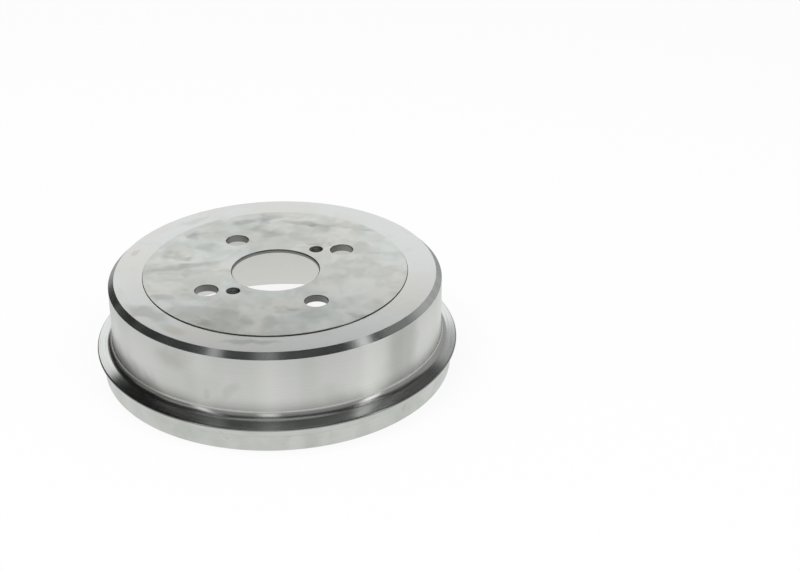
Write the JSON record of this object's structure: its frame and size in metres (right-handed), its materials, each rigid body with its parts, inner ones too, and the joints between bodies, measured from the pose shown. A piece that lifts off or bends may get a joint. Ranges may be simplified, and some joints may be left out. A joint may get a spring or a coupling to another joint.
{
  "type": "brake drum",
  "caption": "Round iron drum for brake shoes: flanged and grooved open end, closed web with centre bore, stud holes and jack holes.",
  "frame": {"origin": "on the drum's axis, in the plane of the open end's lip", "axes": "+Z along the drum's axis, from the open end to the wheel face; the first stud hole is 34 degrees from +X towards +Y"},
  "size_m": [0.2334, 0.2334, 0.0643],
  "materials": {
    "turned_iron": "turned and ground, lightly oiled"
  },
  "bodies": {
    "root": {"brake_drum": "turned_iron"}
  },
  "joints": []
}
